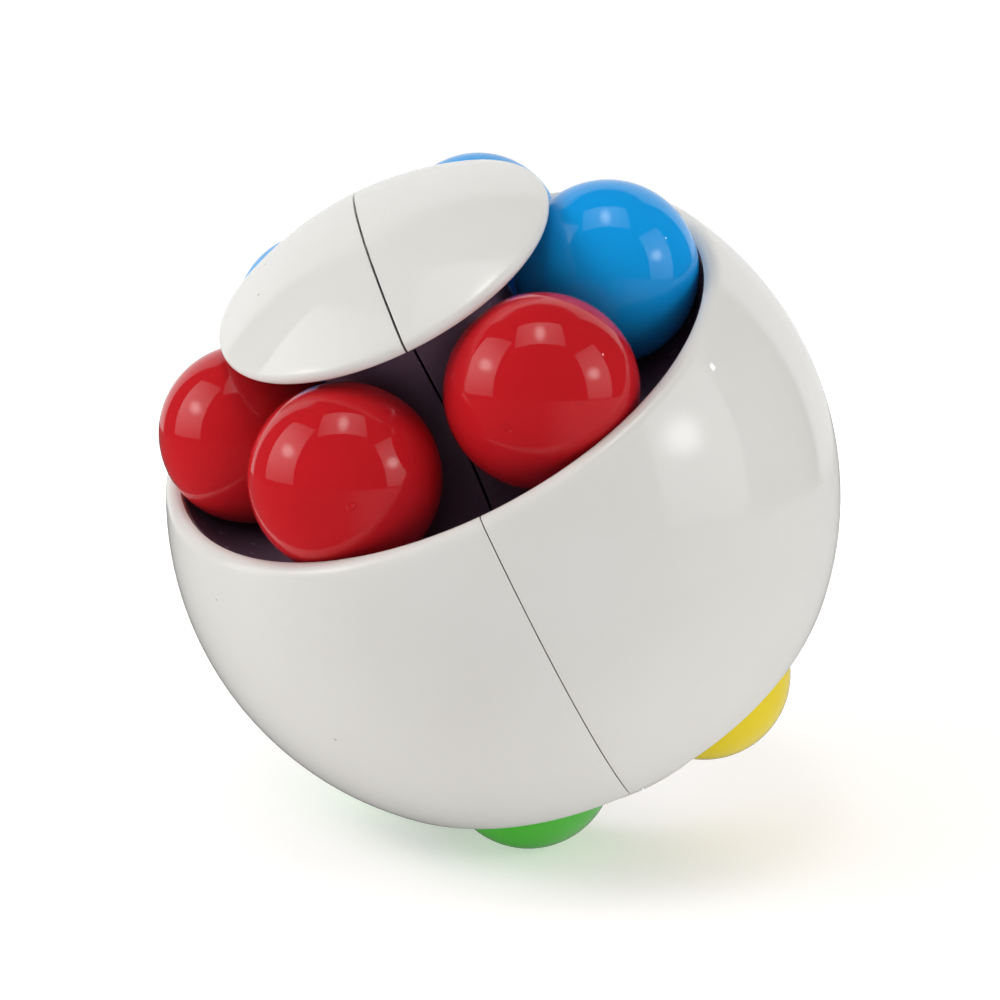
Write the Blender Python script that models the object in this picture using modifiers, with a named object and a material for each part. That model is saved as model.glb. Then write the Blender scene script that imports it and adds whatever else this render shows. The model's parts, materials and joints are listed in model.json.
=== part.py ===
"""Twist-ball puzzle: a white ball in two halves that turn on one bolt, with six loose balls in a ring-shaped
trough round each pole. Every piece is modelled about the ball's centre, with the poles on Z and the bolt on X.
One parent then leans the whole ball over, as it lies on a table on its lower balls. The origin is its centre."""

import math

import bmesh
import bpy
from mathutils import Matrix, Vector

MM = 0.001  # every size below is in metres

# the big ball
SPHERE_R = 35.0 * MM
WALL = 2.2 * MM  # shell thickness
SEAM = 0.15 * MM  # from the seam plane to each half
LIP_R = 1.3 * MM  # rounding of the rim round each trough
LIP_LATITUDE = math.radians(30)  # where the rim's rounding leaves the sphere
LIP_EDGE_ANGLE = math.radians(122)  # where that rounding ends, on the trough's side
LIP_SKIRT = 0.45 * MM  # how far the rim reaches down into the trough
LIP_UNDERCUT = 0.1 * MM  # step under the rim, over the trough's edge
SEAT_LATITUDE = math.radians(28.2)  # where the shell's inside turns out round the trough

# the loose balls and the trough that they roll in
BALL_R = 9.0 * MM
RING_R = 19.5 * MM  # polar axis to ball centre
RING_Z = 19.9 * MM  # height of a ball's centre
TRACK_PLAY = 0.2 * MM  # running gap round a ball
PLAY = 0.3 * MM  # gap between neighbouring pieces
TROUGH_WALL = 0.9 * MM
GATE_R = 0.6 * MM  # round moulding mark on a ball
GATE_DEPTH = 0.25 * MM

# the stem and the cap that keep the balls in
CAP_TOP = 35.0 * MM  # the cap carries on the big ball's own curve
CAP_DOME_R = 35.0 * MM
CAP_R = 17.4 * MM
CAP_EDGE_R = 0.7 * MM
SPIGOT_R = 7.9 * MM
SPIGOT_TOP = 32.0 * MM
STEM_ROOF = 27.0 * MM  # top of the hollow inside the stem

# the pivot between the halves
PLATE_T = 2.5 * MM
PLATE_R = 32.4 * MM
PLATE_HALF_HEIGHT = 9.5 * MM
HUB_R = 5.5 * MM
HUB_END = 8.15 * MM  # from the centre to the back of a hub
SHANK_R = 3.0 * MM
THREAD_R = 2.5 * MM
HEAD_R = 5.0 * MM
WASHER_R = 5.3 * MM
WASHER_T = 0.8 * MM
SPRING_R = 4.3 * MM
SPRING_WIRE_R = 0.5 * MM
SPRING_LENGTH = 4.2 * MM
NUT_R = 5.2 * MM
NUT_T = 3.6 * MM
HEAD_T = 2.4 * MM
SOCKET_R = 2.1 * MM
SOCKET_DEPTH = 1.3 * MM

# the detents: sprung steel balls in the left half, which run in a groove of the right half
DETENT_AT = 7.6 * MM  # twist axis to detent ball
DETENT_R = 1.2 * MM
DETENT_SET_BACK = 0.7 * MM  # seam plane to the ball's centre
DETENT_BORE_R = 1.5 * MM
DETENT_BOSS_R = 2.4 * MM
DETENT_BOSS_END = 7.5 * MM
DETENT_BORE_END = 6.6 * MM
DETENT_SPRING_R = 0.95 * MM
DETENT_WIRE_R = 0.2 * MM
GROOVE_R = 1.2 * MM

# angles of the balls round the polar axis, in degrees from +X; none crosses the seam
TOP_BALLS = {
    "ball_red_1": 181.4,
    "ball_red_2": 237.0,
    "ball_red_3": -62.1,
    "ball_blue_1": -6.6,
    "ball_blue_2": 62.1,
    "ball_blue_3": 120.6,
}
BOTTOM_BALLS = {
    "ball_green_1": 242.1,
    "ball_green_2": 185.0,
    "ball_green_3": 127.5,
    "ball_yellow_1": -55.0,
    "ball_yellow_2": 1.0,
    "ball_yellow_3": 58.0,
}

# how the ball lies on a table: turned about its poles, then leant over towards a compass direction
SPIN = math.radians(138.8)
LEAN = math.radians(34.9)
LEAN_TOWARDS = math.radians(-133.4)

# facets
TURN_STEPS = 40  # round a whole turned piece
ROUND_STEPS = 24  # round a pin or a bore
BOSS_STEPS = 20  # round a detent's boss and bore
GATE_STEPS = 12
GROOVE_STEPS = 8
COIL_STEPS = 8  # in each turn of a spring
DETENT_SEGMENTS = 12
DETENT_RINGS = 8
BALL_SEGMENTS = 18
BALL_RINGS = 9
SOFT_ANGLE = math.radians(35)  # edges gentler than this are shaded smooth
WELD = 0.01 * MM  # points closer than this are one

COLOURS = {
    "white_gloss": ((0.76, 0.75, 0.73), 0.16, 0.0),
    "dark_trough": ((0.014, 0.010, 0.015), 0.35, 0.0),
    "grey_plate": ((0.10, 0.10, 0.11), 0.5, 0.0),
    "steel": ((0.56, 0.56, 0.57), 0.3, 1.0),
    "red": ((0.539, 0.013, 0.019), 0.14, 0.0),
    "blue": ((0.010, 0.205, 0.578), 0.14, 0.0),
    "green": ((0.091, 0.445, 0.065), 0.14, 0.0),
    "yellow": ((0.745, 0.604, 0.045), 0.14, 0.0),
}


def clear_scene():
    for obj in list(bpy.data.objects):
        bpy.data.objects.remove(obj, do_unlink=True)


def new_collection(name):
    collection = bpy.data.collections.new(name)
    bpy.context.scene.collection.children.link(collection)
    return collection


def make_material(name):
    colour, roughness, metallic = COLOURS[name]
    material = bpy.data.materials.new(name)
    material.use_nodes = True
    shader = material.node_tree.nodes["Principled BSDF"]
    shader.inputs["Base Color"].default_value = (*colour, 1.0)
    shader.inputs["Roughness"].default_value = roughness
    shader.inputs["Metallic"].default_value = metallic
    return material


def add_object(name, mesh, collection, material=None):
    obj = bpy.data.objects.new(name, mesh)
    collection.objects.link(obj)
    if material:
        mesh.materials.append(material)
    return obj


def as_cutter(obj):
    obj.hide_render = True
    obj.display_type = "WIRE"
    return obj


def shade_round(mesh):
    mesh.shade_smooth()
    mesh.set_sharp_from_angle(angle=SOFT_ANGLE)


def modify(obj, operation, other):
    """Keep, join or cut obj with another object, and leave the result in obj's mesh."""
    boolean = obj.modifiers.new(operation.lower(), "BOOLEAN")
    boolean.operation = operation
    boolean.object = other
    boolean.solver = "EXACT"
    bpy.context.view_layer.update()
    result = bpy.data.meshes.new_from_object(obj.evaluated_get(bpy.context.evaluated_depsgraph_get()))
    obj.modifiers.clear()
    obj.data = result


def arc(centre, radius, start, end, steps):
    """Points (r, z) along an arc in the half plane of a turned outline."""
    turns = [start + (end - start) * i / steps for i in range(steps + 1)]
    return [(centre[0] + radius * math.cos(a), centre[1] + radius * math.sin(a)) for a in turns]


def turned(name, outline, collection, closed, material=None, axis="Z", steps=TURN_STEPS):
    """A solid turned from an outline of (r, position on the axis) that runs down its outer side first."""
    mesh = bpy.data.meshes.new(name)
    shape = bmesh.new()
    points = [shape.verts.new((r, 0.0, z)) for r, z in outline]
    for first, second in zip(points, points[1:]):
        shape.edges.new((first, second))
    if closed:
        shape.edges.new((points[-1], points[0]))
    shape.to_mesh(mesh)
    shape.free()
    obj = add_object(name, mesh, collection)
    screw = obj.modifiers.new("turn", "SCREW")
    screw.axis = "Z"
    screw.angle = math.tau
    screw.steps = steps
    screw.render_steps = steps
    screw.use_merge_vertices = True
    screw.merge_threshold = WELD
    screw.use_smooth_shade = False
    bpy.context.view_layer.update()
    obj.data = bpy.data.meshes.new_from_object(obj.evaluated_get(bpy.context.evaluated_depsgraph_get()))
    obj.modifiers.clear()
    if axis == "X":
        obj.data.transform(Matrix.Rotation(math.radians(90), 4, "Y"))
    if material:
        obj.data.materials.append(material)
    return obj


def rod(name, radius, start, end, collection, at=(0.0, 0.0), sides=ROUND_STEPS, material=None):
    """A plain cylinder along X from start to end, centred at (y, z)."""
    mesh = bpy.data.meshes.new(name)
    shape = bmesh.new()
    bmesh.ops.create_cone(
        shape, cap_ends=True, segments=sides, radius1=radius, radius2=radius, depth=abs(end - start)
    )
    move = Matrix.Translation(((start + end) / 2, at[0], at[1]))
    bmesh.ops.transform(shape, matrix=move @ Matrix.Rotation(math.radians(90), 4, "Y"), verts=shape.verts)
    shape.to_mesh(mesh)
    shape.free()
    return add_object(name, mesh, collection, material)


def block(name, low, high, collection):
    """A box between two corners."""
    mesh = bpy.data.meshes.new(name)
    shape = bmesh.new()
    size = Vector(high) - Vector(low)
    middle = (Vector(high) + Vector(low)) / 2
    bmesh.ops.create_cube(shape, size=1.0)
    bmesh.ops.transform(shape, matrix=Matrix.Translation(middle) @ Matrix.Diagonal((*size, 1.0)), verts=shape.verts)
    shape.to_mesh(mesh)
    shape.free()
    return add_object(name, mesh, collection)


def shell_outline():
    """Sphere with a rounded lip round each trough: down the outside, then up the inside."""
    lip_distance = SPHERE_R - LIP_R
    lip_centre = (lip_distance * math.cos(LIP_LATITUDE), lip_distance * math.sin(LIP_LATITUDE))
    lip = arc(lip_centre, LIP_R, LIP_EDGE_ANGLE, LIP_LATITUDE, 4)
    outside = arc((0.0, 0.0), SPHERE_R, LIP_LATITUDE, 0.0, 6)
    # the inside stands clear of the trough's back up to where it meets the inner sphere
    inner_r = SPHERE_R - WALL
    seat_r = BALL_R + TRACK_PLAY + TROUGH_WALL + PLAY
    edge_r, edge_z = lip[0]
    skirt_z = edge_z - LIP_SKIRT
    clear_r = BALL_R + TRACK_PLAY
    skirt_r = RING_R + math.sqrt(clear_r**2 - (skirt_z - RING_Z) ** 2)
    seat_z = skirt_z - LIP_UNDERCUT
    seat = (RING_R + math.sqrt(seat_r**2 - (seat_z - RING_Z) ** 2), seat_z)
    inside = arc((0.0, 0.0), inner_r, 0.0, SEAT_LATITUDE, 4)
    upper = [*lip, *outside[1:]]
    lower = [(r, -z) for r, z in reversed(upper[:-1])]
    under = [(skirt_r, -skirt_z), (seat[0], -seat[1])]
    inner = [(r, -z) for r, z in reversed(inside[1:])] + inside
    return upper + lower + under + inner + [seat, (skirt_r, skirt_z)]


def trough_outline():
    """U-shaped ring trough with the hollow stem and its spigot, from the axis over the top and back underneath."""
    clear_r = BALL_R + TRACK_PLAY
    back_r = clear_r + TROUGH_WALL
    centre = (RING_R, RING_Z)
    top_z = SPHERE_R * math.sin(LIP_LATITUDE) - PLAY
    rim_angle = math.asin((top_z - RING_Z) / clear_r)
    back_angle = math.asin((top_z - RING_Z) / back_r)
    cap_under = cap_edge_centre()[1] - CAP_EDGE_R
    stem_r = RING_R - clear_r
    stem = [(0.0, SPIGOT_TOP), (SPIGOT_R, SPIGOT_TOP), (SPIGOT_R, cap_under - PLAY), (stem_r, cap_under - PLAY)]
    inside = arc(centre, clear_r, -math.pi, rim_angle, 9)
    back = arc(centre, back_r, back_angle, -math.pi, 8)
    return stem + inside + back + [(RING_R - back_r, STEM_ROOF), (0.0, STEM_ROOF)]


def cap_edge_centre():
    r = CAP_R - CAP_EDGE_R
    reach = CAP_DOME_R - CAP_EDGE_R
    return (r, CAP_TOP - CAP_DOME_R + math.sqrt(reach**2 - r**2))


def cap_outline():
    """Shallow dome with a rounded edge, a flat underside and a socket for the stem's spigot."""
    edge = cap_edge_centre()
    dome_centre = (0.0, CAP_TOP - CAP_DOME_R)
    tangent = math.atan2(edge[1] - dome_centre[1], edge[0])
    dome = arc(dome_centre, CAP_DOME_R, math.pi / 2, tangent, 4)
    dome[0] = (0.0, CAP_TOP)
    rim = arc(edge, CAP_EDGE_R, tangent, -math.pi / 2, 3)
    socket_r = SPIGOT_R + PLAY
    socket_top = SPIGOT_TOP + PLAY
    return dome + rim[1:] + [(socket_r, rim[-1][1]), (socket_r, socket_top), (0.0, socket_top)]


def flipped(outline):
    """The same outline below the middle, still running down its outer side first."""
    return [(r, -z) for r, z in reversed(outline)]


def halve(whole, names, half_spaces, collection, material):
    """Cut a whole turned piece at the seam into a left and a right piece."""
    for side, name in names.items():
        piece = add_object(name, whole.data.copy(), collection)
        modify(piece, "INTERSECT", half_spaces[side])
        piece.data.materials.clear()
        piece.data.materials.append(material)
        shade_round(piece.data)
    mesh = whole.data
    bpy.data.objects.remove(whole)
    bpy.data.meshes.remove(mesh)


def make_shells(parts, cutters, half_spaces, materials):
    whole = turned("shell", shell_outline(), cutters, closed=True)
    halve(whole, {"left": "left_shell", "right": "right_shell"}, half_spaces, parts, materials["white_gloss"])


def make_troughs(parts, cutters, half_spaces, materials):
    for level, outline in (("upper", trough_outline()), ("lower", flipped(trough_outline()))):
        whole = turned(f"{level}_trough", outline, cutters, closed=False)
        names = {side: f"{level}_trough_{side}" for side in half_spaces}
        halve(whole, names, half_spaces, parts, materials["dark_trough"])


def make_caps(parts, cutters, half_spaces, materials):
    for level, outline in (("upper", cap_outline()), ("lower", flipped(cap_outline()))):
        whole = turned(f"{level}_cap", outline, cutters, closed=False)
        names = {side: f"{level}_cap_{side}" for side in half_spaces}
        halve(whole, names, half_spaces, parts, materials["white_gloss"])


def make_plate(side, parts, cutters, material):
    """Flat bearing face of one half, with the hub that turns on the bolt."""
    way = 1 if side == "right" else -1
    name = f"{side}_bearing_plate"
    plate = rod(name, PLATE_R, way * SEAM, way * (SEAM + PLATE_T), parts, sides=2 * ROUND_STEPS, material=material)
    reach = SPHERE_R + PLATE_T
    low = (-reach, -reach, -PLATE_HALF_HEIGHT)
    high = (reach, reach, PLATE_HALF_HEIGHT)
    modify(plate, "INTERSECT", as_cutter(block(f"{side}_band", low, high, cutters)))
    middle = way * (SEAM + PLATE_T / 2)
    hub = rod(f"{side}_hub", HUB_R, middle, way * HUB_END, cutters)
    modify(plate, "UNION", as_cutter(hub))
    if side == "left":
        for y in (-DETENT_AT, DETENT_AT):
            boss = rod("detent_boss", DETENT_BOSS_R, middle, -DETENT_BOSS_END, cutters, at=(y, 0.0), sides=BOSS_STEPS)
            modify(plate, "UNION", as_cutter(boss))
            bore = rod("detent_bore", DETENT_BORE_R, SEAM, -DETENT_BORE_END, cutters, at=(y, 0.0), sides=BOSS_STEPS)
            modify(plate, "DIFFERENCE", as_cutter(bore))
    else:
        groove = turned(
            "detent_groove",
            arc((DETENT_AT, 0.0), GROOVE_R, math.tau / GROOVE_STEPS, math.tau * (2 / GROOVE_STEPS - 1), GROOVE_STEPS - 1),
            cutters,
            closed=True,
            axis="X",
        )
        modify(plate, "DIFFERENCE", as_cutter(groove))
    modify(plate, "DIFFERENCE", as_cutter(rod(f"{side}_bore", SHANK_R + PLAY, -reach, reach, cutters)))
    shade_round(plate.data)


def make_bolt(parts, cutters, material):
    """Shoulder bolt along the twist axis, its head on the right and its thread on the left."""
    head_under = HUB_END + PLAY + SPRING_LENGTH + PLAY + WASHER_T + PLAY
    head_top = head_under + HEAD_T
    thread_start = -HUB_END
    thread_end = -(HUB_END + PLAY + NUT_T + 2 * PLAY)
    outline = [
        (0.0, head_top),
        (HEAD_R - PLAY, head_top),
        (HEAD_R, head_top - PLAY),
        (HEAD_R, head_under),
        (SHANK_R, head_under),
        (SHANK_R, thread_start),
        (THREAD_R, thread_start),
        (THREAD_R, thread_end),
        (0.0, thread_end),
    ]
    bolt = turned("pivot_bolt", outline, parts, closed=False, material=material, axis="X", steps=ROUND_STEPS)
    socket = rod("bolt_socket", SOCKET_R, head_top - SOCKET_DEPTH, head_top + PLAY, cutters, sides=6)
    modify(bolt, "DIFFERENCE", as_cutter(socket))
    shade_round(bolt.data)


def make_washer(parts, cutters, material):
    start = HUB_END + PLAY + SPRING_LENGTH + PLAY
    washer = rod("pivot_washer", WASHER_R, start, start + WASHER_T, parts, material=material)
    hole = rod("washer_hole", SHANK_R + PLAY, start - PLAY, start + WASHER_T + PLAY, cutters)
    modify(washer, "DIFFERENCE", as_cutter(hole))
    shade_round(washer.data)


def make_nut(parts, cutters, material):
    start = -(HUB_END + PLAY)
    nut = rod("pivot_nut", NUT_R, start, start - NUT_T, parts, sides=6, material=material)
    hole = rod("nut_hole", THREAD_R + PLAY, start + PLAY, start - NUT_T - PLAY, cutters)
    modify(nut, "DIFFERENCE", as_cutter(hole))
    shade_round(nut.data)


def make_spring(name, start, end, radius, wire, turns, at, parts, material):
    """Coil spring along X between two faces, as a closed tube."""
    count = turns * COIL_STEPS
    first = start + wire
    last = end - wire
    curve = bpy.data.curves.new(name, "CURVE")
    curve.dimensions = "3D"
    curve.bevel_depth = wire
    curve.bevel_resolution = 1
    curve.use_fill_caps = True
    spline = curve.splines.new("POLY")
    spline.points.add(count)
    for i, point in enumerate(spline.points):
        angle = math.tau * i / COIL_STEPS
        x = first + (last - first) * i / count
        point.co = (x, at[0] + radius * math.cos(angle), at[1] + radius * math.sin(angle), 1.0)
    guide = bpy.data.objects.new(name + "_guide", curve)
    parts.objects.link(guide)
    bpy.context.view_layer.update()
    mesh = bpy.data.meshes.new_from_object(guide.evaluated_get(bpy.context.evaluated_depsgraph_get()))
    bpy.data.objects.remove(guide)
    tube = bmesh.new()
    tube.from_mesh(mesh)
    bmesh.ops.remove_doubles(tube, verts=tube.verts, dist=WELD)
    tube.to_mesh(mesh)
    tube.free()
    spring = add_object(name, mesh, parts, material)
    shade_round(spring.data)


def make_detents(parts, material):
    """Two sprung steel balls in the left plate. Each moves straight along X."""
    for name, y in (("front", -DETENT_AT), ("back", DETENT_AT)):
        mesh = bpy.data.meshes.new(f"detent_ball_{name}")
        shape = bmesh.new()
        bmesh.ops.create_uvsphere(shape, u_segments=DETENT_SEGMENTS, v_segments=DETENT_RINGS, radius=DETENT_R)
        shape.to_mesh(mesh)
        shape.free()
        ball = add_object(f"detent_ball_{name}", mesh, parts, material)
        ball.location = (-DETENT_SET_BACK, y, 0.0)
        shade_round(mesh)
        start = -(DETENT_BORE_END - PLAY)
        end = -(DETENT_SET_BACK + DETENT_R + PLAY)
        spring_name = f"detent_spring_{name}"
        make_spring(spring_name, start, end, DETENT_SPRING_R, DETENT_WIRE_R, 3, (y, 0.0), parts, material)


def ball_mesh(cutters):
    """A moulded ball with one small round gate mark sunk into it at its local +Z."""
    mesh = bpy.data.meshes.new("ball")
    shape = bmesh.new()
    bmesh.ops.create_uvsphere(shape, u_segments=BALL_SEGMENTS, v_segments=BALL_RINGS, radius=BALL_R)
    shape.to_mesh(mesh)
    shape.free()
    ball = add_object("ball", mesh, cutters)
    gate = bpy.data.meshes.new("ball_gate")
    shape = bmesh.new()
    depth = 2 * BALL_R
    bmesh.ops.create_cone(shape, cap_ends=True, segments=GATE_STEPS, radius1=GATE_R, radius2=GATE_R, depth=depth)
    gate_floor = BALL_R * math.cos(math.asin(GATE_R / BALL_R)) - GATE_DEPTH
    bmesh.ops.translate(shape, vec=(0.0, 0.0, gate_floor + depth / 2), verts=shape.verts)
    shape.to_mesh(gate)
    shape.free()
    modify(ball, "DIFFERENCE", as_cutter(add_object("ball_gate", gate, cutters)))
    mesh = ball.data
    bpy.data.objects.remove(ball)
    shade_round(mesh)
    return mesh


def make_balls(parts, cutters, materials):
    """Six balls in each trough. Each hangs on an empty on the polar axis, which is its joint's axis."""
    mesh = ball_mesh(cutters)
    for balls, z in ((TOP_BALLS, RING_Z), (BOTTOM_BALLS, -RING_Z)):
        for count, (name, degrees) in enumerate(balls.items()):
            pivot = bpy.data.objects.new(name + "_pivot", None)
            parts.objects.link(pivot)
            pivot.rotation_euler = (0.0, 0.0, math.radians(degrees))
            colour = name.split("_")[1]
            ball = add_object(name, mesh.copy(), parts, materials[colour])
            ball.parent = pivot
            ball.location = (RING_R, 0.0, z)
            # every ball has rolled its own way, so the gate marks point in different directions
            ball.rotation_euler = (math.radians(70 + 40 * count), math.radians(25 * count), math.radians(-65))
    bpy.data.meshes.remove(mesh)


def lay_down(parts):
    """Lean the finished ball over. What has no parent yet hangs on one empty at the ball's centre."""
    lying = bpy.data.objects.new("lying_pose", None)
    lying.rotation_mode = "QUATERNION"
    turn = Matrix.Rotation(LEAN_TOWARDS, 3, "Z") @ Matrix.Rotation(LEAN, 3, "Y") @ Matrix.Rotation(SPIN, 3, "Z")
    lying.rotation_quaternion = turn.to_quaternion()
    for obj in parts.objects:
        if not obj.parent:
            obj.parent = lying
    parts.objects.link(lying)


def main():
    clear_scene()
    parts = new_collection("twist_ball_puzzle")
    cutters = new_collection("cutters")
    materials = {name: make_material(name) for name in COLOURS}
    reach = 1.2 * SPHERE_R
    half_spaces = {
        "left": as_cutter(block("left_half_space", (-reach, -reach, -reach), (-SEAM, reach, reach), cutters)),
        "right": as_cutter(block("right_half_space", (SEAM, -reach, -reach), (reach, reach, reach), cutters)),
    }
    make_shells(parts, cutters, half_spaces, materials)
    make_troughs(parts, cutters, half_spaces, materials)
    make_caps(parts, cutters, half_spaces, materials)
    for side in half_spaces:
        make_plate(side, parts, cutters, materials["grey_plate"])
    make_bolt(parts, cutters, materials["steel"])
    make_washer(parts, cutters, materials["steel"])
    make_nut(parts, cutters, materials["steel"])
    spring_start = HUB_END + PLAY
    spring_end = spring_start + SPRING_LENGTH
    make_spring(
        "pivot_spring", spring_start, spring_end, SPRING_R, SPRING_WIRE_R, 3, (0.0, 0.0), parts, materials["steel"]
    )
    make_detents(parts, materials["steel"])
    make_balls(parts, cutters, materials)
    lay_down(parts)
    bpy.context.view_layer.update()


main()
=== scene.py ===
import json
import math

import bmesh
import bpy
from mathutils import Matrix, Vector


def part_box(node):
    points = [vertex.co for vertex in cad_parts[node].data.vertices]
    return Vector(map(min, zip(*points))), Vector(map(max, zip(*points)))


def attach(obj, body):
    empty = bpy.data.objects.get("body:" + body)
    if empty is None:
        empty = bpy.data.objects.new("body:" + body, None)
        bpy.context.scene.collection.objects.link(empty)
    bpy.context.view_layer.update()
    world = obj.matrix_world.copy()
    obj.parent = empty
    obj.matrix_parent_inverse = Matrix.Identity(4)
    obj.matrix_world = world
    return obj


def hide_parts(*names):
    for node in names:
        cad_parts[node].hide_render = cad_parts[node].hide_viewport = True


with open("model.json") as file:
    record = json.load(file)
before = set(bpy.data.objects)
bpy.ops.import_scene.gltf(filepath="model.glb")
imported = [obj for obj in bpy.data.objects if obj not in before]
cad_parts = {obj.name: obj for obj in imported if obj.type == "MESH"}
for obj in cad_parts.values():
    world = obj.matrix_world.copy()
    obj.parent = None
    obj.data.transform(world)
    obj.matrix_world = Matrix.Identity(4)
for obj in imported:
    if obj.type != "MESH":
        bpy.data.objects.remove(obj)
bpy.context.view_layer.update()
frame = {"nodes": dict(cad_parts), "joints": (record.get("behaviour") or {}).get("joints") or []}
mm = 0.001
white = (1.0, 1.0, 1.0, 1.0)

# the puzzle lies leaning over: its own X is the twist axis and its own Z the poles, both read from the joints
axes = {joint["name"]: Vector(joint["axis"]) for joint in frame["joints"]}
twistAxis = axes["halves_twist"]
poleAxis = axes["ball_red_1_roll"]
lying = Matrix((twistAxis, poleAxis.cross(twistAxis), poleAxis)).transposed().to_4x4()
standing = lying.inverted()


# helpers for selecting, and for joining material nodes


def deselectAll():
    if bpy.context.object and bpy.context.object.mode != "OBJECT":
        bpy.ops.object.mode_set(mode="OBJECT")
    bpy.ops.object.select_all(action="DESELECT")


def activate(obj):
    deselectAll()
    obj.select_set(True)
    bpy.context.view_layer.objects.active = obj


def editAll(obj):
    activate(obj)
    bpy.ops.object.mode_set(mode="EDIT")
    bpy.ops.mesh.select_mode(type="VERT")
    bpy.ops.mesh.select_all(action="SELECT")


def feed(tree, value, socket):
    # a number or colour is set on the socket, and anything else is linked to it
    if isinstance(value, (float, tuple)):
        socket.default_value = value
    else:
        tree.links.new(value, socket)


def between(tree, value, low, high, fromValue=0.0, toValue=1.0, blend="LINEAR"):
    node = tree.nodes.new("ShaderNodeMapRange")
    node.interpolation_type = blend
    feed(tree, value, node.inputs["Value"])
    feed(tree, low, node.inputs["From Min"])
    feed(tree, high, node.inputs["From Max"])
    feed(tree, fromValue, node.inputs["To Min"])
    feed(tree, toValue, node.inputs["To Max"])
    return node.outputs["Result"]


def timesPlus(tree, value, factor, added):
    node = tree.nodes.new("ShaderNodeMath")
    node.operation = "MULTIPLY_ADD"
    for socket, part in zip(node.inputs, (value, factor, added)):
        feed(tree, part, socket)
    return node.outputs[0]


def vectorMath(tree, operation, *vectors):
    node = tree.nodes.new("ShaderNodeVectorMath")
    node.operation = operation
    for socket, vector in zip(node.inputs, vectors):
        feed(tree, vector, socket)
    return node.outputs["Value" if operation == "LENGTH" else "Vector"]


def splitVector(tree, vector):
    node = tree.nodes.new("ShaderNodeSeparateXYZ")
    tree.links.new(vector, node.inputs[0])
    return node.outputs[0], node.outputs[1], node.outputs[2]


def objectCoordinates(tree):
    return tree.nodes.new("ShaderNodeTexCoord").outputs["Object"]


print("stage 1: camera, lights and floor")

camera = {
    "lens": 62.9,
    "sensor": 36.0,
    "place": (-0.34 * mm, -181.9 * mm, 31.6 * mm),
    "tilt": math.radians(80.0),  # looks 10 degrees down
    "nearest": 5 * mm,
    "farthest": 20.0,
}


def placeCamera():
    data = bpy.data.cameras.new("camera")
    data.lens = camera["lens"]
    data.sensor_width = camera["sensor"]
    data.clip_start = camera["nearest"]
    data.clip_end = camera["farthest"]
    eye = bpy.data.objects.new("camera", data)
    bpy.context.scene.collection.objects.link(eye)
    eye.location = camera["place"]
    eye.rotation_euler = (camera["tilt"], 0.0, 0.0)
    bpy.context.scene.camera = eye


placeCamera()

# each softbox stands where its bearing, in degrees round from the viewer to the right, and its rise say
# corners, lamp and spread are in its own plane, at distance 1: far left, far right, near right, near left
# levels are its cloth, the glow round the lamp, and the lamp itself
softboxes = {
    "left": {
        "bearing": -80.0,
        "rise": 25.0,
        "corners": ((-0.36, 0.40), (0.26, 0.66), (0.48, -0.48), (-0.37, -0.48)),
        "lamp": (0.08, 0.04),
        "spread": (0.20, 0.11),
        "levels": (1.1, 1.85, 6.5),
    },
    "top": {
        "bearing": 0.0,
        "rise": 75.0,
        "corners": ((-0.36, 0.26), (0.29, 0.26), (0.44, -0.26), (-0.52, -0.26)),
        "lamp": (-0.03, -0.02),
        "spread": (0.10, 0.20),
        "levels": (1.0, 1.25, 7.0),
    },
    "right": {
        "bearing": 68.0,
        "rise": 22.0,
        "corners": ((-0.30, 0.42), (0.27, 0.42), (0.32, -0.46), (-0.33, -0.46)),
        "lamp": (-0.09, -0.02),
        "spread": (0.16, 0.11),
        "levels": (1.05, 1.1, 7.5),
    },
    "bare": {  # a bare bulb beside the right softbox
        "bearing": 89.0,
        "rise": 32.0,
        "corners": ((-0.014, 0.012), (0.014, 0.014), (0.012, -0.012), (-0.014, -0.012)),
        "lamp": (0.0, 0.0),
        "spread": (0.1, 0.1),
        "levels": (20.0, 0.0, 0.0),
    },
}
lighting = {
    "distance": 0.6,
    "colour": (1.0, 0.99, 0.975, 1.0),
    "glow": 2.6,  # how far the glow and the lamp reach, in spreads
    "lamp": 0.65,
    "edge": 2.2,  # where both have faded out
}


def hump(tree, coordinates, middle, spread, reach):
    # 1 at the middle, falling smoothly to 0
    shift = tree.nodes.new("ShaderNodeMapping")
    shift.vector_type = "TEXTURE"
    shift.inputs["Location"].default_value = (middle[0], middle[1], 0.0)
    shift.inputs["Scale"].default_value = (reach * spread[0], reach * spread[1], 1.0)
    tree.links.new(coordinates, shift.inputs["Vector"])
    away = vectorMath(tree, "LENGTH", shift.outputs["Vector"])
    return between(tree, away, lighting["edge"], 0.0, blend="SMOOTHERSTEP")


def clothMaterial(name, box):
    material = bpy.data.materials.new(name)
    material.use_nodes = True
    tree = material.node_tree
    tree.nodes.clear()
    light = tree.nodes.new("ShaderNodeEmission")
    light.inputs["Color"].default_value = lighting["colour"]
    out = tree.nodes.new("ShaderNodeOutputMaterial")
    tree.links.new(light.outputs[0], out.inputs["Surface"])
    coordinates = objectCoordinates(tree)
    strength, glowLevel, lampLevel = box["levels"]
    for level, reach in ((glowLevel, lighting["glow"]), (lampLevel, lighting["lamp"])):
        glowing = hump(tree, coordinates, box["lamp"], box["spread"], reach)
        strength = timesPlus(tree, glowing, level, strength)
    tree.links.new(strength, light.inputs["Strength"])
    return material


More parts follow.
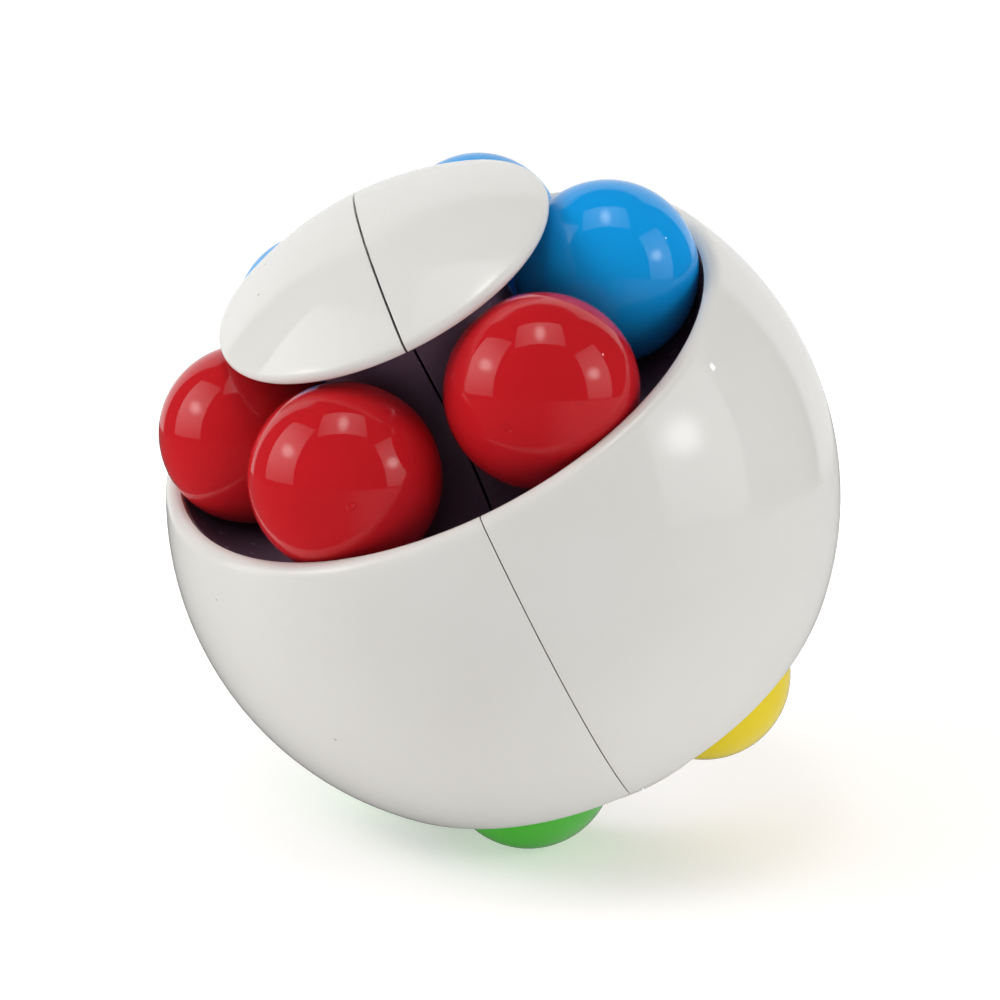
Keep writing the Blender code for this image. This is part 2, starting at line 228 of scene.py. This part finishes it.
def makeSoftbox(name, box):
    deselectAll()
    bpy.ops.mesh.primitive_plane_add(size=1.0)
    cloth = bpy.context.object
    cloth.name = name + "Softbox"
    for vertex, (x, y) in zip((2, 3, 1, 0), box["corners"]):
        cloth.data.vertices[vertex].co = (x, y, 0.0)
    bearing, rise = math.radians(box["bearing"]), math.radians(box["rise"])
    flat = math.cos(rise)
    towards = Vector((flat * math.sin(bearing), -flat * math.cos(bearing), math.sin(rise)))
    across = Vector((0.0, 0.0, 1.0)).cross(towards).normalized()
    turn = Matrix((across, towards.cross(across), towards)).transposed().to_4x4()
    distance = lighting["distance"]
    cloth.matrix_world = Matrix.Translation(towards * distance) @ turn @ Matrix.Scale(distance, 4)
    cloth.data.materials.append(clothMaterial(name + "Cloth", box))
    cloth.visible_camera = False


for name, box in softboxes.items():
    makeSoftbox(name, box)

# +Y is behind the puzzle, and spans are parts of a direction of length 1
room = {
    "fill": (0.25, 0.85),  # soft light from in front, and from the white paper behind
    "fillSpan": (0.15, 0.55),
    "dark": 0.06,  # what a gloss shows of the dark room, of the paper, and of the table to left and right
    "shine": 0.9,
    "table": (0.12, 0.6),
    "paperEdge": (0.63, 0.68),
    "paperTop": (0.84, 0.76),
    "tableSpan": (-0.1, 0.6),
    "tableEdge": (-0.07, -0.09),
    "paper": 1.05,  # what the camera sees
}


def background(tree, strength):
    node = tree.nodes.new("ShaderNodeBackground")
    node.inputs["Color"].default_value = white
    feed(tree, strength, node.inputs["Strength"])
    return node.outputs[0]


def makeWorld():
    # white paper wherever the camera looks, and a dark room with white paper behind for light and reflections
    world = bpy.data.worlds.new("paleStudio")
    world.use_nodes = True
    tree = world.node_tree
    tree.nodes.clear()
    direction = tree.nodes.new("ShaderNodeTexCoord").outputs["Generated"]
    across, deep, high = splitVector(tree, direction)
    fill = between(tree, deep, *room["fillSpan"], *room["fill"], blend="SMOOTHSTEP")
    compass = vectorMath(tree, "NORMALIZE", vectorMath(tree, "MULTIPLY", direction, (1.0, 1.0, 0.0)))
    behind = splitVector(tree, compass)[1]
    sheet = between(tree, behind, *room["paperEdge"], room["dark"], room["shine"], blend="SMOOTHSTEP")
    sheet = between(tree, high, *room["paperTop"], room["dark"], sheet, blend="SMOOTHSTEP")
    table = between(tree, across, *room["tableSpan"], *room["table"], blend="SMOOTHSTEP")
    shine = between(tree, high, *room["tableEdge"], sheet, table, blend="SMOOTHSTEP")
    path = tree.nodes.new("ShaderNodeLightPath")
    seen = background(tree, fill)
    for strength, ray in ((shine, "Is Glossy Ray"), (room["paper"], "Is Camera Ray")):
        mix = tree.nodes.new("ShaderNodeMixShader")
        tree.links.new(path.outputs[ray], mix.inputs[0])
        tree.links.new(seen, mix.inputs[1])
        tree.links.new(background(tree, strength), mix.inputs[2])
        seen = mix.outputs[0]
    out = tree.nodes.new("ShaderNodeOutputWorld")
    tree.links.new(seen, out.inputs["Surface"])
    bpy.context.scene.world = world


makeWorld()
bpy.context.scene.view_settings.view_transform = "Standard"

floorLook = {
    "size": 6.0,
    "level": min(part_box(name)[0].z for name in frame["nodes"]) - 0.15 * mm,
    "colour": (0.74, 0.725, 0.73, 1.0),
    "ownLight": (1.0, 0.99, 0.98, 1.0),
    "near": 0.43,  # its own light under the puzzle, and far off, as the camera sees it
    "far": 0.85,
    "nearRadius": 0.06,
    "farRadius": 0.30,
    "bounce": 0.34,  # and as the puzzle sees it
    "roughness": 0.9,
    "specular": 0.1,
}


def makeFloor():
    deselectAll()
    bpy.ops.mesh.primitive_plane_add(size=floorLook["size"], location=(0.0, 0.0, floorLook["level"]))
    floor = bpy.context.object
    floor.name = "floor"
    material = bpy.data.materials.new("paleFloor")
    material.use_nodes = True
    tree = material.node_tree
    shader = tree.nodes["Principled BSDF"]
    shader.inputs["Base Color"].default_value = floorLook["colour"]
    shader.inputs["Roughness"].default_value = floorLook["roughness"]
    shader.inputs["Specular IOR Level"].default_value = floorLook["specular"]
    shader.inputs["Emission Color"].default_value = floorLook["ownLight"]
    away = vectorMath(tree, "LENGTH", objectCoordinates(tree))
    radii = (floorLook["nearRadius"], floorLook["farRadius"])
    rising = between(tree, away, *radii, floorLook["near"], floorLook["far"], blend="SMOOTHSTEP")
    cameraRay = tree.nodes.new("ShaderNodeLightPath").outputs["Is Camera Ray"]
    seen = between(tree, cameraRay, 0.0, 1.0, floorLook["bounce"], rising)
    tree.links.new(seen, shader.inputs["Emission Strength"])
    floor.data.materials.append(material)
    floor.visible_glossy = False


makeFloor()

print("stage 2: materials")

# colour, the tint it clouds to, and the dust on it
plastics = {
    "whiteGloss": {"colour": (0.745, 0.742, 0.718), "tint": (0.73, 0.725, 0.698), "dust": (0.42, 0.40, 0.38)},
    "redGloss": {"colour": (0.55, 0.012, 0.018), "tint": (0.50, 0.010, 0.015), "dust": (0.75, 0.55, 0.5)},
    "blueGloss": {"colour": (0.006, 0.34, 0.82), "tint": (0.005, 0.30, 0.76), "dust": (0.6, 0.72, 0.85)},
    "greenGloss": {"colour": (0.09, 0.52, 0.055), "tint": (0.08, 0.48, 0.048), "dust": (0.6, 0.8, 0.6)},
    "yellowGloss": {"colour": (0.85, 0.68, 0.022), "tint": (0.80, 0.63, 0.018), "dust": (0.9, 0.85, 0.6)},
    "darkTrough": {
        "colour": (0.19, 0.125, 0.19),
        "tint": (0.16, 0.11, 0.165),
        "dust": (0.26, 0.22, 0.26),
        "roughness": 0.22,
    },
    "greyPlate": {
        "colour": (0.10, 0.10, 0.11),
        "tint": (0.08, 0.08, 0.088),
        "dust": (0.2, 0.2, 0.2),
        "roughness": 0.45,
        "waviness": 0.1,
    },
}
# scales are turns of a pattern in a metre
moulding = {
    "roughness": 0.03,
    "waviness": 0.02,
    "specular": 0.27,
    "cloudScale": 90.0,
    "cloudDetail": 3.0,
    "cloudSpan": (0.35, 0.7),
    "wearScale": 700.0,
    "wearDetail": 6.0,
    "wearSpan": (0.3, 0.8),
    "wear": (0.7, 1.5),  # times the roughness
    "waveScale": 160.0,
    "waveDetail": 2.0,
    "waveDepth": 0.2 * mm,
    "dustScale": 260.0,
    "dustSize": (0.05, 0.03),  # in cells, to where a speck fades out and to where it is full
    "dustChance": (0.86, 0.87),  # only cells above this have a speck
}
steel = {
    "colour": (0.60, 0.60, 0.61),
    "tarnish": (0.42, 0.41, 0.40),
    "tarnishScale": 300.0,
    "tarnishDetail": 5.0,
    "tarnishSpan": (0.35, 0.75),
    "roughness": (0.2, 0.4),
    "specular": 0.5,
    "grainScale": 1500.0,
    "grainDetail": 3.0,
    "grainSpan": (0.3, 0.7),
    "grainDepth": 0.01 * mm,
    "grain": 0.3,
}


def newMaterial(name, metallic, specular):
    material = bpy.data.materials.new(name)
    material.use_nodes = True
    shader = material.node_tree.nodes["Principled BSDF"]
    shader.inputs["Metallic"].default_value = metallic
    shader.inputs["Specular IOR Level"].default_value = specular
    return material, material.node_tree, shader


def noise(tree, coordinates, scale, detail):
    node = tree.nodes.new("ShaderNodeTexNoise")
    node.inputs["Scale"].default_value = scale
    node.inputs["Detail"].default_value = detail
    tree.links.new(coordinates, node.inputs["Vector"])
    return node.outputs["Fac"]


def mixColour(tree, factor, first, second):
    node = tree.nodes.new("ShaderNodeMix")
    node.data_type = "RGBA"
    tree.links.new(factor, node.inputs["Factor"])
    for value, place in ((first, 6), (second, 7)):  # the two colour sockets
        feed(tree, (*value, 1.0) if isinstance(value, tuple) else value, node.inputs[place])
    return node.outputs[2]


def addBump(tree, shader, height, strength, distance):
    bump = tree.nodes.new("ShaderNodeBump")
    bump.inputs["Strength"].default_value = strength
    bump.inputs["Distance"].default_value = distance
    tree.links.new(height, bump.inputs["Height"])
    tree.links.new(bump.outputs["Normal"], shader.inputs["Normal"])


def dustSpecks(tree, coordinates):
    # small round dots, few and far between: 1 on a dot and 0 elsewhere
    cells = tree.nodes.new("ShaderNodeTexVoronoi")
    cells.inputs["Scale"].default_value = moulding["dustScale"]
    tree.links.new(coordinates, cells.inputs["Vector"])
    dots = between(tree, cells.outputs["Distance"], *moulding["dustSize"])
    split = tree.nodes.new("ShaderNodeSeparateColor")
    tree.links.new(cells.outputs["Color"], split.inputs[0])
    chosen = between(tree, split.outputs["Red"], *moulding["dustChance"])
    return timesPlus(tree, dots, chosen, 0.0)


def plasticMaterial(name, look):
    # faint clouding, slight sink waviness, fine wear in the gloss and a few specks of dust
    material, tree, shader = newMaterial(name, 0.0, moulding["specular"])
    coordinates = objectCoordinates(tree)
    clouds = noise(tree, coordinates, moulding["cloudScale"], moulding["cloudDetail"])
    clouded = between(tree, clouds, *moulding["cloudSpan"])
    plain = mixColour(tree, clouded, look["colour"], look["tint"])
    dusty = mixColour(tree, dustSpecks(tree, coordinates), plain, look["dust"])
    tree.links.new(dusty, shader.inputs["Base Color"])
    roughness = look.get("roughness", moulding["roughness"])
    limits = [factor * roughness for factor in moulding["wear"]]
    wear = noise(tree, coordinates, moulding["wearScale"], moulding["wearDetail"])
    tree.links.new(between(tree, wear, *moulding["wearSpan"], *limits), shader.inputs["Roughness"])
    waves = noise(tree, coordinates, moulding["waveScale"], moulding["waveDetail"])
    addBump(tree, shader, waves, look.get("waviness", moulding["waviness"]), moulding["waveDepth"])
    return material


def steelMaterial():
    material, tree, shader = newMaterial("platedSteel", 1.0, steel["specular"])
    coordinates = objectCoordinates(tree)
    clouds = noise(tree, coordinates, steel["tarnishScale"], steel["tarnishDetail"])
    tarnish = between(tree, clouds, *steel["tarnishSpan"])
    tree.links.new(mixColour(tree, tarnish, steel["colour"], steel["tarnish"]), shader.inputs["Base Color"])
    grain = noise(tree, coordinates, steel["grainScale"], steel["grainDetail"])
    tree.links.new(between(tree, grain, *steel["grainSpan"], *steel["roughness"]), shader.inputs["Roughness"])
    addBump(tree, shader, grain, steel["grain"], steel["grainDepth"])
    return material


finishes = {name: plasticMaterial(name, look) for name, look in plastics.items()}
finishes["steel"] = steelMaterial()

print("stage 3: shells, troughs and caps")

# "seam" is half the gap between the halves, and "seamRound" rounds its edges
shell = {
    "radius": 35.0 * mm,
    "wall": 2.2 * mm,
    "lipRadius": 1.3 * mm,
    "lipLatitude": math.radians(30.0),
    "lipEdge": math.radians(122.0),
    "seatLatitude": math.radians(28.2),
    "undercut": 0.1 * mm,
    "skirt": 0.45 * mm,
    "seam": 0.05 * mm,
    "seamRound": 0.05 * mm,
    "lipSteps": 10,
    "outsideSteps": 28,
    "insideSteps": 12,
}
track = {
    "ball": 9.0 * mm,
    "ring": 19.5 * mm,
    "height": 19.9 * mm,
    "play": 0.2 * mm,
    "gap": 0.3 * mm,  # to the shell, and between cap and stem
    "wall": 0.9 * mm,
    "seam": 0.11 * mm,
    "seamRound": 0.05 * mm,
    "channelSteps": 48,
    "underSteps": 32,
}
cap = {
    "top": 35.0 * mm,
    "dome": 35.0 * mm,
    "radius": 17.4 * mm,
    "edge": 0.7 * mm,
    "spigot": 7.9 * mm,
    "spigotTop": 32.0 * mm,
    "stemRoof": 27.0 * mm,
    "seam": 0.11 * mm,
    "seamRound": 0.06 * mm,
    "domeSteps": 28,
    "edgeSteps": 10,
}
turning = {
    "steps": 192,
    "seamSegments": 3,
    "merge": 0.002 * mm,
    "cut": 0.0005 * mm,
    "cutFacing": 0.999,  # how squarely a face of the cut looks across the seam
    "smoothAngle": math.radians(40.0),
}
# half turns that carry the upper right piece to the other three places
places = {
    ("upper", "right"): Matrix.Identity(4),
    ("upper", "left"): Matrix.Rotation(math.pi, 4, "Z"),
    ("lower", "right"): Matrix.Rotation(math.pi, 4, "X"),
    ("lower", "left"): Matrix.Rotation(math.pi, 4, "Y"),
}


def arc(centre, radius, start, end, steps):
    turns = [start + (end - start) * i / steps for i in range(steps + 1)]
    return [(centre[0] + radius * math.cos(a), centre[1] + radius * math.sin(a)) for a in turns]


def onCircle(centre, radius, z):
    # the point of a circle, on its far side from the poles, at a height
    return (centre[0] + math.sqrt(radius**2 - (z - centre[1]) ** 2), z)


ballCircle = (track["ring"], track["height"])
clearRadius = track["ball"] + track["play"]


def capEdgeCentre():
    r = cap["radius"] - cap["edge"]
    return (r, cap["top"] - cap["dome"] + math.sqrt((cap["dome"] - cap["edge"]) ** 2 - r**2))


def shellOutline():
    reach = shell["radius"] - shell["lipRadius"]
    latitude = shell["lipLatitude"]
    lipCentre = (reach * math.cos(latitude), reach * math.sin(latitude))
    lip = arc(lipCentre, shell["lipRadius"], shell["lipEdge"], latitude, shell["lipSteps"])
    outside = arc((0.0, 0.0), shell["radius"], latitude, 0.0, shell["outsideSteps"])
    skirtZ = lip[0][1] - shell["skirt"]
    skirt = onCircle(ballCircle, clearRadius, skirtZ)
    seat = onCircle(ballCircle, clearRadius + track["wall"] + track["gap"], skirtZ - shell["undercut"])
    inner = shell["radius"] - shell["wall"]
    inside = arc((0.0, 0.0), inner, 0.0, shell["seatLatitude"], shell["insideSteps"])
    above = lip + outside[1:]
    within = inside[1:] + [seat, skirt]
    below = [(r, -z) for r, z in reversed(above[:-1])] + [(r, -z) for r, z in reversed(within)]
    return above + below + [inside[0]] + within


def troughOutline():
    back = clearRadius + track["wall"]
    rise = shell["radius"] * math.sin(shell["lipLatitude"]) - track["gap"] - track["height"]
    shoulder = capEdgeCentre()[1] - cap["edge"] - track["gap"]
    stem = [(0.0, cap["spigotTop"]), (cap["spigot"], cap["spigotTop"]), (cap["spigot"], shoulder)]
    stem += [(track["ring"] - clearRadius, shoulder)]
    channel = arc(ballCircle, clearRadius, -math.pi, math.asin(rise / clearRadius), track["channelSteps"])
    under = arc(ballCircle, back, math.asin(rise / back), -math.pi, track["underSteps"])
    return stem + channel + under + [(track["ring"] - back, cap["stemRoof"]), (0.0, cap["stemRoof"])]


def capOutline():
    edge = capEdgeCentre()
    centre = (0.0, cap["top"] - cap["dome"])
    tangent = math.atan2(edge[1] - centre[1], edge[0])
    dome = arc(centre, cap["dome"], math.pi / 2, tangent, cap["domeSteps"])
    dome[0] = (0.0, cap["top"])
    rim = arc(edge, cap["edge"], tangent, -math.pi / 2, cap["edgeSteps"])
    socket = cap["spigot"] + track["gap"]
    roof = cap["spigotTop"] + track["gap"]
    return dome + rim[1:] + [(socket, rim[-1][1]), (socket, roof), (0.0, roof)]


def startOutline(name, outline, closed):
    # a circle with one corner for each point of the outline, moved onto it, and opened where it isn't closed
    deselectAll()
    bpy.ops.mesh.primitive_circle_add(vertices=len(outline), radius=1.0, fill_type="NOTHING")
    obj = bpy.context.object
    obj.name = name
    for vertex, (r, z) in zip(obj.data.vertices, outline):
        vertex.co = (r, 0.0, z)
    if not closed:
        shape = bmesh.new()
        shape.from_mesh(obj.data)
        shape.verts.ensure_lookup_table()
        last, first = shape.verts[-1], shape.verts[0]
        joining = [edge for edge in last.link_edges if edge.other_vert(last) == first]
        bmesh.ops.delete(shape, geom=joining, context="EDGES")
        shape.to_mesh(obj.data)
        shape.free()
    return obj


def selectFaces(obj, wanted):
    # in edit mode, selects just the faces that wanted(face) says yes to
    bpy.ops.mesh.select_all(action="DESELECT")
    bpy.ops.mesh.select_mode(type="FACE")
    shape = bmesh.from_edit_mesh(obj.data)
    for face in shape.faces:
        face.select_set(wanted(face))
    bmesh.update_edit_mesh(obj.data)


def makeNormalsOutward():
    bpy.ops.mesh.select_all(action="SELECT")
    bpy.ops.mesh.normals_make_consistent(inside=False)


def turnRightHalf(name, outline, look, closed=False):
    # spins an outline round the poles, keeps what is right of the seam, and rounds the cut's edges
    obj = startOutline(name, outline, closed)
    editAll(obj)
    bpy.ops.mesh.spin(
        steps=turning["steps"],
        angle=math.tau,
        center=(0.0, 0.0, 0.0),
        axis=(0.0, 0.0, 1.0),
        use_auto_merge=False,
    )
    bpy.ops.mesh.select_all(action="SELECT")
    bpy.ops.mesh.remove_doubles(threshold=turning["merge"])
    makeNormalsOutward()
    bpy.ops.mesh.bisect(
        plane_co=(look["seam"], 0.0, 0.0),
        plane_no=(1.0, 0.0, 0.0),
        use_fill=True,
        clear_inner=True,
        clear_outer=False,
        threshold=turning["cut"],
    )
    selectFaces(obj, lambda face: face.normal.x < -turning["cutFacing"])
    bpy.ops.mesh.region_to_loop()
    bpy.ops.mesh.bevel(
        offset=look["seamRound"],
        segments=turning["seamSegments"],
        affect="EDGES",
        clamp_overlap=True,
    )
    makeNormalsOutward()
    bpy.ops.object.mode_set(mode="OBJECT")
    return obj


def copyPiece(model, name, turn):
    # a copy with its own mesh, turned to its place in the puzzle's own axes and then leant over with it
    obj = model.copy()
    obj.name = name
    obj.data = model.data.copy()
    obj.data.name = name
    bpy.context.scene.collection.objects.link(obj)
    obj.data.transform(lying @ turn)
    activate(obj)
    bpy.ops.object.shade_smooth_by_angle(angle=turning["smoothAngle"])
    return obj


def finishPiece(obj, finish, body, node):
    obj.data.materials.clear()
    obj.data.materials.append(finishes[finish])
    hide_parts(node)
    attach(obj, body)


def removeModel(model):
    bpy.data.objects.remove(model)


model = turnRightHalf("shellModel", shellOutline(), shell, closed=True)
for side in ("left", "right"):
    piece = copyPiece(model, side + "Shell", places["upper", side])
    finishPiece(piece, "whiteGloss", side + "_half", side + "_shell")
removeModel(model)

for part, outline, look, finish, slotName in (
    ("Trough", troughOutline(), track, "darkTrough", "dark_trough"),
    ("Cap", capOutline(), cap, "whiteGloss", "white_gloss"),
):
    model = turnRightHalf(part + "Model", outline, look)
    for (level, side), turn in places.items():
        piece = copyPiece(model, f"{level}{part}_{side}", turn)
        finishPiece(piece, finish, side + "_half", f"{level}_{part.lower()}_{side}")
    removeModel(model)

print("stage 4: loose balls")

ball = {
    "segments": 96,
    "rings": 64,
    "gateSink": 0.05 * mm,
    "gateRim": 0.06 * mm,
    "gateFloor": 0.12 * mm,
    "gateNub": 0.04 * mm,
    "nubRise": 0.03 * mm,
    "gateStep": 2.4,  # from one ball's gate mark to the next's, in radians
    "gateRise": 0.3,
    "gateFall": 0.05,
    "gateTowards": {"ball_red_2": (0.14, -0.98, -0.10), "ball_red_3": (-0.345, -0.906, -0.24)},
}


def makeBallModel():
    # a moulded ball: a small round gate mark is sunk at its pole, with a nub in the middle
    deselectAll()
    segments, rings = ball["segments"], ball["rings"]
    bpy.ops.mesh.primitive_uv_sphere_add(segments=segments, ring_count=rings, radius=track["ball"])
    obj = bpy.context.object
    obj.name = "ballModel"
    editAll(obj)
    gateZ = track["ball"] * math.cos(math.pi / rings)
    selectFaces(obj, lambda face: face.calc_center_median().z > gateZ)
    bpy.ops.mesh.inset(thickness=ball["gateRim"], depth=-ball["gateSink"])
    bpy.ops.mesh.inset(thickness=ball["gateFloor"], depth=0.0)
    bpy.ops.mesh.inset(thickness=ball["gateNub"], depth=ball["nubRise"])
    makeNormalsOutward()
    bpy.ops.object.mode_set(mode="OBJECT")
    return obj


def ballPlace(name):
    # a ball's centre in the puzzle's own axes, from the way that its CAD node lies round the poles
    low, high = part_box(name)
    middle = standing @ ((low + high) / 2)
    angle = math.atan2(middle.y, middle.x)
    radius, height = track["ring"], math.copysign(track["height"], middle.z)
    return Vector((radius * math.cos(angle), radius * math.sin(angle), height))


def gateTurn(name, count):
    # two gate marks face the viewer, and the others are spread round
    angle = ball["gateStep"] * count
    spread = Vector((math.cos(angle), math.sin(angle), ball["gateRise"] - ball["gateFall"] * count))
    towards = Vector(ball["gateTowards"].get(name, lying.to_3x3() @ spread))
    return (standing.to_3x3() @ towards).to_track_quat("Z", "Y").to_matrix().to_4x4()


model = makeBallModel()
for count, name in enumerate(sorted(node for node in frame["nodes"] if node.startswith("ball_"))):
    colour = name.split("_")[1]
    turn = Matrix.Translation(ballPlace(name)) @ gateTurn(name, count)
    piece = copyPiece(model, f"{colour}Ball_{name[-1]}", turn)
    finishPiece(piece, colour + "Gloss", name, name)
removeModel(model)

print("stage 5: inner parts")

for name, node in frame["nodes"].items():
    if not node.hide_render:
        node.data.materials.clear()
        node.data.materials.append(finishes["greyPlate" if "plate" in name else "steel"])
